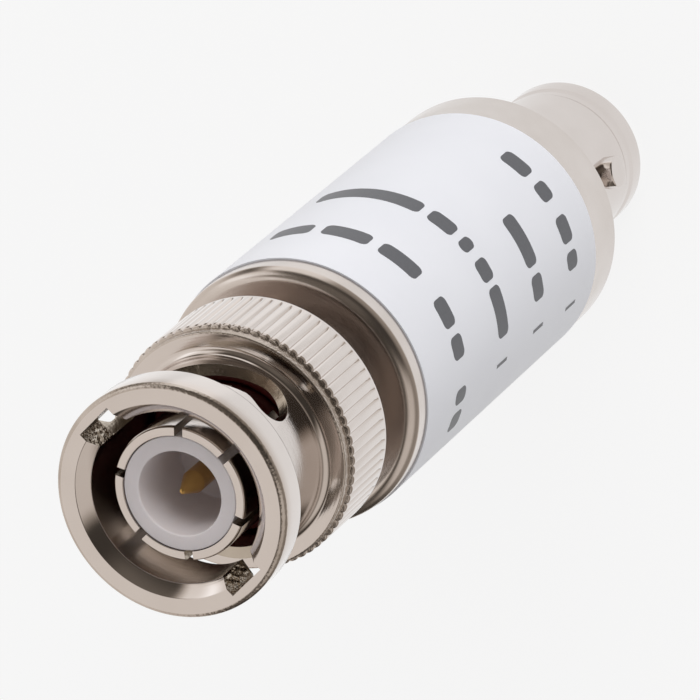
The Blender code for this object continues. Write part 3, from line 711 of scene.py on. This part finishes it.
# Turned PTFE is a waxy, slightly warm white that lets a little light in and shines dully. Knife marks of
# 0.1 mm are drawn at 0.14 mm, as coarse as they need to show, over faint clouds 1 to 2 mm wide.
knife_marks_per_mm = 7.0
knife_mark_depth = 0.004
milk_clouds_per_mm = 0.6
ptfe, ptfe_tree, ptfe_shader = new_material("PTFE, turned")
ptfe_rings, ptfe_solid = turned_coordinates(ptfe_tree)
cloud = add_node(ptfe_tree, "ShaderNodeTexNoise", values={"Scale": milk_clouds_per_mm, "Detail": 2.0},
                 links={"Vector": ptfe_solid})
milk = add_node(ptfe_tree, "ShaderNodeMix", {"data_type": "RGBA"}, links={0: cloud.outputs["Fac"]})
milk.inputs[6].default_value = linear("E8E1E2")
milk.inputs[7].default_value = linear("DED7D7")
lathe = add_node(ptfe_tree, "ShaderNodeTexNoise", {"noise_dimensions": "2D"},
                 {"Scale": knife_marks_per_mm, "Detail": 2.0}, {"Vector": ptfe_rings})
ptfe_bump = add_node(ptfe_tree, "ShaderNodeBump", values={"Distance": knife_mark_depth * MM},
                     links={"Height": lathe.outputs["Fac"]})
ptfe_tree.links.new(milk.outputs[2], ptfe_shader.inputs["Base Color"])
ptfe_tree.links.new(ptfe_bump.outputs["Normal"], ptfe_shader.inputs["Normal"])
ptfe_shader.inputs["Roughness"].default_value = 0.5
ptfe_shader.inputs["IOR"].default_value = 1.35
ptfe_shader.inputs["Subsurface Weight"].default_value = 0.25
ptfe_shader.inputs["Subsurface Radius"].default_value = (1.0, 0.9, 0.8)
ptfe_shader.inputs["Subsurface Scale"].default_value = 0.4 * MM
tube.data.materials.append(ptfe)
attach(tube, "body")
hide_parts("plug_insulator")


# Centre pin. Turned from brass with a long cone and a small round nose, then gold plated. Its thicker
# shank ends in a flat tongue that is soldered on the board.
pin_low, pin_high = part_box("centre_pin")
pin_tip = pin_high.z / MM
pin_end = pin_low.z / MM
nose = 0.19
cone_length = 1.6
shank_radius = 0.9
shank_top = well_floor - 1.55
tongue_top = 39.4
tongue_cut = 2.0

pin = turn("pin", [
    *arc(0.0, pin_tip - nose, nose, start=90, end=12, steps=12),
    (pin_radius, pin_tip - cone_length),
    (pin_radius, shank_top),
    (shank_radius, shank_top),
    (shank_radius, pin_end),
    (0.0, pin_end),
], sides=64)

# A thin gold plate gives a deep, dull yellow with blurred shine. Its rings of 0.05 mm are drawn at 0.1
# mm, as coarse as they need to show.
gold = plated_metal("gold-plated brass, turned", "DDB56F", "C29A5A", roughness=0.32, ring_spacing=0.1,
                    ring_depth=0.002, pit_depth=0.002, edge_round=0.02)
pin.data.materials.append(gold)
cut_away(pin, [
    saw("tongue", -tongue_cut, tongue_cut, 2 * tongue_cut, pin_end - overrun, tongue_top,
        aside=board_slot_high - tongue_cut),
], gold)
cone_crease = math.radians(10)
smooth(pin, angle=cone_crease)
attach(pin, "body")
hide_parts("centre_pin")


# Gasket. A square-cut ring of dark red silicone rubber that sits on the shell's flange, slightly crowned
# where a mating jack presses it.
gasket_low, gasket_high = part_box("gasket")
ring_inner = finger_radius + slip_fit
ring_outer = gasket_high.x / MM
ring_low = gasket_low.z / MM
ring_high = gasket_high.z / MM
crown = 0.1

seal = turn("seal", soften([
    (ring_inner, ring_low),
    (ring_outer, ring_low),
    (ring_outer, ring_high - crown),
    ((ring_inner + ring_outer) / 2, ring_high),
    (ring_inner, ring_high - crown),
], radius=0.25), sides=120)
smooth(seal)

# Moulded silicone is a deep red with a dull, slightly dusty skin. The dust lies in patches about 0.25 mm
# wide.
dust_per_mm = 4.0
dust_depth = 0.01
rubber, rubber_tree, rubber_shader = new_material("silicone rubber, moulded")
rubber_solid = turned_coordinates(rubber_tree)[1]
dust = add_node(rubber_tree, "ShaderNodeTexNoise", values={"Scale": dust_per_mm, "Detail": 4.0},
                links={"Vector": rubber_solid})
red = add_node(rubber_tree, "ShaderNodeMix", {"data_type": "RGBA"}, links={0: dust.outputs["Fac"]})
red.inputs[6].default_value = linear("6A1712")
red.inputs[7].default_value = linear("51100D")
skin = add_node(rubber_tree, "ShaderNodeBump", values={"Distance": dust_depth * MM},
                links={"Height": dust.outputs["Fac"]})
rubber_tree.links.new(red.outputs[2], rubber_shader.inputs["Base Color"])
rubber_tree.links.new(skin.outputs["Normal"], rubber_shader.inputs["Normal"])
rubber_shader.inputs["Roughness"].default_value = 0.5
seal.data.materials.append(rubber)
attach(seal, "body")
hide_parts("gasket")


# Spring washers behind the flange, stamped from spring steel. The waved one is pressed flat between the
# flange and the plain one when the nut is drawn forward.
wave_low, wave_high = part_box("wave_washer")
wave_inner = 4.5
wave_outer = wave_high.x / MM
wave_thickness = 0.2
wave_middle = (wave_low.z + wave_high.z) / 2 / MM
wave_swing = ((wave_high.z - wave_low.z) / MM - wave_thickness) / 2
wave_count = 3
wave_steps = 144


def wave_height(step):
    return wave_swing * math.cos(math.tau * wave_count * step / wave_steps)


waved = rectangle("waved_washer", wave_inner, wave_outer, wave_middle - wave_thickness / 2,
                  wave_middle + wave_thickness / 2)
bpy.ops.transform.translate(value=(0, 0, wave_height(0) * MM))
bpy.ops.mesh.delete(type="ONLY_FACE")
bpy.ops.mesh.select_all(action="SELECT")
for step in range(wave_steps):
    rise = wave_height(step + 1) - wave_height(step)
    bpy.ops.mesh.extrude_region_move()
    bpy.ops.transform.rotate(value=-math.tau / wave_steps, orient_axis="Z", center_override=(0, 0, 0))
    bpy.ops.transform.translate(value=(0, 0, rise * MM))
bpy.ops.mesh.select_all(action="SELECT")
bpy.ops.mesh.remove_doubles(threshold=2 * WELD)
bpy.ops.mesh.normals_make_consistent(inside=False)
bpy.ops.object.mode_set(mode="OBJECT")
smooth(waved)

# Rolled steel is a cool grey with a blurred shine and a fine grain, drawn at 0.12 mm, as coarse as it
# needs to show.
roll_marks_per_mm = 8.0
steel, steel_tree, steel_shader = new_material("spring steel, rolled")
steel_rings = turned_coordinates(steel_tree)[0]
rolled = add_node(steel_tree, "ShaderNodeTexNoise", {"noise_dimensions": "2D"},
                  {"Scale": roll_marks_per_mm, "Detail": 3.0}, {"Vector": steel_rings})
grey = add_node(steel_tree, "ShaderNodeMix", {"data_type": "RGBA"}, links={0: rolled.outputs["Fac"]})
grey.inputs[6].default_value = linear("B4B6BA")
grey.inputs[7].default_value = linear("94969A")
steel_tree.links.new(grey.outputs[2], steel_shader.inputs["Base Color"])
steel_shader.inputs["Metallic"].default_value = 1.0
steel_shader.inputs["Roughness"].default_value = 0.32
waved.data.materials.append(steel)
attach(waved, "body")
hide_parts("wave_washer")
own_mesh(waved)
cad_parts["slip_washer"].data.materials.clear()
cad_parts["slip_washer"].data.materials.append(steel)


# Jack barrel. Turned brass, plated, with a bevelled mouth, a shallow groove near it and a flange that is
# pressed into the sleeve. Two round studs stand out of its wall for the bayonet of the mating plug.
jack_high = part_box("jack_shell")[1]
jack_radius = 4.81
jack_bore = 4.07
jack_bore_depth = 8.4
mouth_bevel = 0.2
mouth_lead = 0.12
groove_height = 1.45
groove_slope = 0.35
groove_floor = 0.5
groove_depth = 0.1
jack_flange_radius = 6.95
jack_flange_rear = 12.3
jack_flange_front = 15.3
jack_tail_radius = 4.2
jack_tail_end = jack_high.z / MM

barrel = turn("barrel", soften([
    (jack_bore + mouth_lead, 0.0),
    (jack_radius - mouth_bevel, 0.0),
    (jack_radius, mouth_bevel),
    (jack_radius, groove_height),
    (jack_radius - groove_depth, groove_height + groove_slope),
    (jack_radius - groove_depth, groove_height + groove_slope + groove_floor),
    (jack_radius, groove_height + 2 * groove_slope + groove_floor),
    (jack_radius, jack_flange_rear),
    (jack_flange_radius, jack_flange_rear),
    (jack_flange_radius, jack_flange_front),
    (jack_tail_radius, jack_flange_front),
    (jack_tail_radius, jack_tail_end),
    (bead_bore, jack_tail_end),
    (bead_bore, jack_bore_depth),
    (jack_bore, jack_bore_depth),
    (jack_bore, mouth_lead),
], radius=0.04), sides=144)
barrel.data.materials.append(nickel)
cut_away(barrel, [
    saw("jack board slot", -board_slot_reach, board_slot_reach, board_slot_width,
        jack_tail_end - board_slot_depth, jack_tail_end + overrun, aside=board_slot_middle),
], milled)
smooth(barrel, angle=milled_crease)
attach(barrel, "body")
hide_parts("jack_shell")

stud_radius = 1.0
stud_height = 5.2
stud_tip = 5.5
stud_root = jack_bore + face_gap
for number, side in ((1, -1), (2, 1)):
    stud = turn("stud_%d" % number, soften([
        (0.0, stud_root),
        (stud_radius, stud_root),
        (stud_radius, stud_tip),
        (0.0, stud_tip),
    ], radius=0.13), sides=64)
    bpy.ops.object.mode_set(mode="EDIT")
    bpy.ops.mesh.select_all(action="SELECT")
    bpy.ops.transform.rotate(value=side * math.pi / 2, orient_axis="X", center_override=(0, 0, 0))
    bpy.ops.transform.translate(value=(0, 0, stud_height * MM))
    bpy.ops.object.mode_set(mode="OBJECT")
    smooth(stud)
    stud.data.materials.append(nickel)
    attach(stud, "body")
    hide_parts("bayonet_stud_%d" % number)


# Jack insulator and socket. The same white PTFE stands up in the mouth round a gold-plated socket, whose
# end is sawn into four tines that grip a pin. The two beads further in are turned from PTFE too.
core_low, core_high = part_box("jack_insulator")
core_radius = 2.38
core_front = core_low.z / MM
core_shoulder = jack_bore_depth + face_gap
core_tail = bead_bore - slip_fit
core_lip = 0.15
core_funnel = 0.12
socket_radius = 1.1
socket_bore = 0.72
socket_depth = 5.5
socket_hole = socket_radius + slip_fit
socket_tongue = 17.3
tine_slot = 0.3
tine_length = 4.0
socket_low, socket_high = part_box("socket_contact")
socket_front = socket_low.z / MM
socket_end = socket_high.z / MM

core = turn("jack_core", soften([
    (socket_bore + core_funnel, core_front),
    (core_radius, core_front),
    (core_radius, core_shoulder),
    (core_tail, core_shoulder),
    (core_tail, core_high.z / MM),
    (socket_hole, core_high.z / MM),
    (socket_hole, core_front + core_lip),
    (socket_bore, core_front + core_lip),
], radius=0.06), sides=120)
smooth(core)
core.data.materials.append(ptfe)
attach(core, "body")
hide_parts("jack_insulator")

socket = turn("socket", soften([
    (socket_bore, socket_front),
    (socket_radius, socket_front),
    (socket_radius, socket_end),
    (0.0, socket_end),
    (0.0, socket_front + socket_depth),
    (socket_bore, socket_front + socket_depth),
], radius=0.05), sides=72)
socket.data.materials.append(gold)
cut_away(socket, [
    *[saw("tine slot", -tongue_cut, tongue_cut, tine_slot, socket_front - overrun,
          socket_front + tine_length, angle) for angle in (0, 90)],
    saw("socket tongue", -tongue_cut, tongue_cut, 2 * tongue_cut, socket_tongue, socket_end + overrun,
        aside=board_slot_high - tongue_cut),
], gold)
smooth(socket)
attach(socket, "body")
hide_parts("socket_contact")

for node in ("plug_bead", "jack_bead"):
    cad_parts[node].data.materials.clear()
    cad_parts[node].data.materials.append(ptfe)


# Resistor board. Glass-epoxy laminate with one copper track along the middle and ground copper along both
# edges, held in the slots of both tails. Its solid is right, so it only gets its finish.
track_half = 1.0
ground_edge = 2.6
glass_per_metre = 2500.0

# Solder resist gives a glossy green, lighter over the copper under it, and the glass cloth's threads, 0.4
# mm apart, show through it faintly.
laminate, laminate_tree, laminate_shader = new_material("FR4 laminate with solder resist")
place = add_node(laminate_tree, "ShaderNodeTexCoord")
apart = add_node(laminate_tree, "ShaderNodeSeparateXYZ", links={"Vector": place.outputs["Object"]})
across = add_node(laminate_tree, "ShaderNodeMath", {"operation": "ABSOLUTE"},
                  links={0: apart.outputs["X"]})
track = add_node(laminate_tree, "ShaderNodeMath", {"operation": "LESS_THAN"}, {1: track_half * MM},
                 {0: across.outputs[0]})
ground = add_node(laminate_tree, "ShaderNodeMath", {"operation": "GREATER_THAN"}, {1: ground_edge * MM},
                  {0: across.outputs[0]})
copper = add_node(laminate_tree, "ShaderNodeMath", {"operation": "MAXIMUM"},
                  links={0: track.outputs[0], 1: ground.outputs[0]})
glass = add_node(laminate_tree, "ShaderNodeTexNoise", values={"Scale": glass_per_metre, "Detail": 2.0},
                 links={"Vector": place.outputs["Object"]})
resist = add_node(laminate_tree, "ShaderNodeMix", {"data_type": "RGBA"}, links={0: glass.outputs["Fac"]})
resist.inputs[6].default_value = linear("1F6B3A")
resist.inputs[7].default_value = linear("175A30")
over = add_node(laminate_tree, "ShaderNodeMix", {"data_type": "RGBA"},
                links={0: copper.outputs[0], 6: resist.outputs[2]})
over.inputs[7].default_value = linear("3F8F55")
laminate_tree.links.new(over.outputs[2], laminate_shader.inputs["Base Color"])
laminate_shader.inputs["Roughness"].default_value = 0.35
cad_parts["resistor_board"].data.materials.clear()
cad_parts["resistor_board"].data.materials.append(laminate)


# Chip resistors. Blocks of alumina with a black glaze, soldered to the board. Their edges are rounded,
# and tin wraps round the two ends of the longer side.
cap_share = 0.16
chip_round = 0.05

# Fired glaze is a glossy, nearly even black, with pits 0.08 mm apart.
pits_per_mm = 12.0
glaze, glaze_tree, glaze_shader = new_material("black resistor glaze")
glaze_solid = turned_coordinates(glaze_tree)[1]
pits = add_node(glaze_tree, "ShaderNodeTexNoise", values={"Scale": pits_per_mm},
                links={"Vector": glaze_solid})
black = add_node(glaze_tree, "ShaderNodeMix", {"data_type": "RGBA"}, links={0: pits.outputs["Fac"]})
black.inputs[6].default_value = linear("1B1B1D")
black.inputs[7].default_value = linear("2A2A2C")
glaze_tree.links.new(black.outputs[2], glaze_shader.inputs["Base Color"])
glaze_shader.inputs["Roughness"].default_value = 0.3

# Dipped tin is a pale grey with a dull shine that ripples every 0.2 mm.
tin = plated_metal("tinned copper", "C9CACB", "A9AAAC", roughness=0.35, ring_spacing=0.2, ring_depth=0.004,
                   pit_depth=0.003, edge_round=0.03)

chips = ["shunt_resistor_%d" % n for n in (1, 2, 3, 4)] + ["series_resistor_%d" % n for n in (1, 2)]
for node in chips:
    low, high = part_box(node)
    size = high - low
    long_axis = 0 if size.x > size.z else 2
    bpy.ops.object.select_all(action="DESELECT")
    bpy.ops.mesh.primitive_cube_add(size=1)
    chip = bpy.context.object
    chip.name = node.replace("resistor", "chip")
    bpy.ops.object.mode_set(mode="EDIT")
    bpy.ops.transform.resize(value=tuple(size))
    bpy.ops.transform.translate(value=tuple((low + high) / 2))
    bpy.ops.mesh.bevel(offset=chip_round * MM, segments=2, affect="EDGES")
    cap = cap_share * size[long_axis]
    for cut_place in (low[long_axis] + cap, high[long_axis] - cap):
        bpy.ops.mesh.select_all(action="SELECT")
        spot = [0.0, 0.0, 0.0]
        spot[long_axis] = cut_place
        face = [0.0, 0.0, 0.0]
        face[long_axis] = 1.0
        bpy.ops.mesh.bisect(plane_co=spot, plane_no=face)
    bpy.ops.object.mode_set(mode="OBJECT")
    chip.data.materials.append(glaze)
    chip.data.materials.append(tin)
    middle = (low[long_axis] + high[long_axis]) / 2
    for face in chip.data.polygons:
        off_middle = abs(face.center[long_axis] - middle)
        face.material_index = int(off_middle > (0.5 - cap_share) * size[long_axis])
    smooth(chip)
    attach(chip, "body")
    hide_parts(node)


# Studio. The part stands on a wide white sheet in a dim room. Plated metal shows what stands round it, so
# the soft boxes, the wall and the dark side where the camera is are all given by their direction from the
# part.
middle_height = 0.035
sheet_edge = -33.0
sheet_soft = 8.0
sheet_level = 0.92
shine_over_sheet = 0.15
dim_level = 0.05
lamplight = "FFECD8"
white_from = 0.75

# Each box has its azimuth and elevation, half its width and height and its soft edge, in degrees, and its
# strength.
soft_boxes = {
    "window": (2, -26, 21, 30, 8, 0.95),
    "strip": (33, 23, 15, 18, 7, 0.85),
    "wall": (97, 14, 55, 66, 12, 0.76),
    "far wall": (-140, 32, 40, 28, 12, 0.62),
    "table edge": (-95, -30, 78, 30, 14, 0.28),
    "ceiling": (10, 52, 60, 26, 18, 0.1),
}


def studio(tree, direction):
    """Glow of the studio in a direction: the sheet below, the dim room, and the soft boxes over them."""
    apart = add_node(tree, "ShaderNodeSeparateXYZ", links={"Vector": direction})
    compass = add_node(tree, "ShaderNodeMath", {"operation": "ARCTAN2"},
                       links={0: apart.outputs["Y"], 1: apart.outputs["X"]})
    azimuth = add_node(tree, "ShaderNodeMath", {"operation": "DEGREES"}, links={0: compass.outputs[0]})
    slope = add_node(tree, "ShaderNodeMath", {"operation": "ARCSINE"}, links={0: apart.outputs["Z"]})
    elevation = add_node(tree, "ShaderNodeMath", {"operation": "DEGREES"}, links={0: slope.outputs[0]})
    on_sheet = add_node(tree, "ShaderNodeMapRange", {"interpolation_type": "SMOOTHSTEP"},
                        {"From Min": sheet_edge + sheet_soft, "From Max": sheet_edge - sheet_soft},
                        {"Value": elevation.outputs[0]})
    off_sheet = add_node(tree, "ShaderNodeMapRange", values={"To Min": 1.0, "To Max": shine_over_sheet},
                         links={"Value": on_sheet.outputs["Result"]})
    level = add_node(tree, "ShaderNodeMapRange", values={"To Min": dim_level, "To Max": sheet_level},
                     links={"Value": on_sheet.outputs["Result"]}).outputs["Result"]
    for turned_to, tilt, half_width, half_height, soft, strength in soft_boxes.values():
        sideways = add_node(tree, "ShaderNodeMath", {"operation": "SUBTRACT"}, {1: turned_to},
                            {0: azimuth.outputs[0]})
        around = add_node(tree, "ShaderNodeMath", {"operation": "WRAP"}, {1: 180.0, 2: -180.0},
                          {0: sideways.outputs[0]})
        off_side = add_node(tree, "ShaderNodeMath", {"operation": "ABSOLUTE"}, links={0: around.outputs[0]})
        upwards = add_node(tree, "ShaderNodeMath", {"operation": "SUBTRACT"}, {1: tilt},
                           {0: elevation.outputs[0]})
        off_height = add_node(tree, "ShaderNodeMath", {"operation": "ABSOLUTE"},
                              links={0: upwards.outputs[0]})
        across = add_node(tree, "ShaderNodeMapRange", {"interpolation_type": "SMOOTHSTEP"},
                          {"From Min": half_width + soft, "From Max": half_width - soft, "To Max": strength},
                          {"Value": off_side.outputs[0]})
        along = add_node(tree, "ShaderNodeMapRange", {"interpolation_type": "SMOOTHSTEP"},
                         {"From Min": half_height + soft, "From Max": half_height - soft},
                         {"Value": off_height.outputs[0]})
        box = add_node(tree, "ShaderNodeMath", {"operation": "MULTIPLY"},
                       links={0: across.outputs["Result"], 1: along.outputs["Result"]})
        level = add_node(tree, "ShaderNodeMath", {"operation": "MULTIPLY_ADD"},
                         links={0: box.outputs[0], 1: off_sheet.outputs["Result"], 2: level}).outputs[0]
    bright = add_node(tree, "ShaderNodeMath", {"operation": "MULTIPLY"}, {1: white_from}, {0: level})
    white = add_node(tree, "ShaderNodeMath", {"operation": "MAXIMUM"},
                     links={0: bright.outputs[0], 1: on_sheet.outputs["Result"]})
    tint = add_node(tree, "ShaderNodeMix", {"data_type": "RGBA"}, links={0: white.outputs[0]})
    tint.inputs[6].default_value = linear(lamplight)
    tint.inputs[7].default_value = (1.0, 1.0, 1.0, 1.0)
    glow = add_node(tree, "ShaderNodeEmission", links={"Color": tint.outputs[2], "Strength": level})
    return glow.outputs[0]


# Matt white card gives an even, nearly white ground that keeps a soft shadow.
floor_size = 3.0
floor_glow = 0.82
bpy.ops.object.select_all(action="DESELECT")
bpy.ops.mesh.primitive_plane_add(size=floor_size)
floor = bpy.context.object
floor.name = "floor"
sheet_material, sheet_tree, sheet_shader = new_material("white backdrop sheet")
sheet_shader.inputs["Base Color"].default_value = linear("F2F2F2")
sheet_shader.inputs["Roughness"].default_value = 0.9
on_floor = add_node(sheet_tree, "ShaderNodeTexCoord")
from_part = add_node(sheet_tree, "ShaderNodeVectorMath", {"operation": "SUBTRACT"},
                     {1: (0, 0, middle_height)}, {0: on_floor.outputs["Object"]})
towards = add_node(sheet_tree, "ShaderNodeVectorMath", {"operation": "NORMALIZE"},
                   links={0: from_part.outputs[0]})
rays = add_node(sheet_tree, "ShaderNodeLightPath")
white = add_node(sheet_tree, "ShaderNodeEmission", values={"Color": (1, 1, 1, 1), "Strength": 1.0})
seen = add_node(sheet_tree, "ShaderNodeMath", {"operation": "MAXIMUM"},
                links={0: rays.outputs["Is Camera Ray"], 1: rays.outputs["Is Transmission Ray"]})
part_white = add_node(sheet_tree, "ShaderNodeMath", {"operation": "MULTIPLY"}, {1: floor_glow},
                      {0: seen.outputs[0]})
plain = add_node(sheet_tree, "ShaderNodeMixShader",
                 links={0: part_white.outputs[0], 1: sheet_shader.outputs[0], 2: white.outputs[0]})
# In reflections the sheet glows with the studio instead of its own white: painted reflections of the soft
# boxes, the wall and the dim room, set by their direction from the part.
mirrored = add_node(sheet_tree, "ShaderNodeMixShader",
                    links={0: rays.outputs["Is Glossy Ray"], 1: plain.outputs[0],
                           2: studio(sheet_tree, towards.outputs[0])})
sheet_tree.links.new(mirrored.outputs[0], sheet_tree.nodes["Material Output"].inputs["Surface"])
floor.data.materials.append(sheet_material)

world = bpy.data.worlds.new("studio")
bpy.context.scene.world = world
world.use_nodes = True
sky = world.node_tree
where = add_node(sky, "ShaderNodeTexCoord")
apart = add_node(sky, "ShaderNodeSeparateXYZ", links={"Vector": where.outputs["Generated"]})
side_light = 0.95
top_light = 0.3
fall = add_node(sky, "ShaderNodeMapRange", values={"To Min": side_light, "To Max": top_light},
                links={"Value": apart.outputs["Z"]})
room = add_node(sky, "ShaderNodeBackground", values={"Color": (1.0, 0.99, 0.985, 1.0)},
                links={"Strength": fall.outputs["Result"]})
rays = add_node(sky, "ShaderNodeLightPath")
blend = add_node(sky, "ShaderNodeMixShader",
                 links={0: rays.outputs["Is Glossy Ray"], 1: room.outputs[0],
                        2: studio(sky, where.outputs["Generated"])})
sky.links.new(blend.outputs[0], sky.nodes["World Output"].inputs["Surface"])

lamp_data = bpy.data.lights.new("soft box", "AREA")
lamp_data.shape = "RECTANGLE"
lamp_data.size = 0.5
lamp_data.size_y = 0.3
lamp_data.energy = 2.2
lamp = bpy.data.objects.new("soft box", lamp_data)
bpy.context.scene.collection.objects.link(lamp)
lamp_place = Vector((0.55, -0.3, 0.25))
lamp_aim = Vector((0, 0, 0.03))
lamp.location = lamp_place
lamp.rotation_euler = (lamp_aim - lamp_place).to_track_quat("-Z", "Y").to_euler()
lamp.visible_glossy = False


# Camera. A long lens at the photograph's angle, looking down on the plug from one side and rolled so that
# the plug comes to the lower left. Distances here are in millimetres.
camera_azimuth = -59.95
camera_elevation = 58.54
camera_distance = 440.4
camera_roll = -131.04
aim = Vector((-1.273, 1.814, 31.251))
lens = 386.4
camera_data = bpy.data.cameras.new("camera")
camera_data.sensor_width = 36.0
camera_data.lens = lens
camera_data.clip_start = 0.01
camera = bpy.data.objects.new("camera", camera_data)
bpy.context.scene.collection.objects.link(camera)
side = math.radians(camera_azimuth)
rise = math.radians(camera_elevation)
back = Vector((math.cos(side) * math.cos(rise), math.sin(side) * math.cos(rise), math.sin(rise)))
upright = back.to_track_quat("Z", "Y").to_matrix().to_4x4()
rolled_view = upright @ Matrix.Rotation(math.radians(camera_roll), 4, "Z")
camera.matrix_world = Matrix.Translation((aim + back * camera_distance) * MM) @ rolled_view
bpy.context.scene.camera = camera

bpy.context.scene.view_settings.view_transform = "Standard"
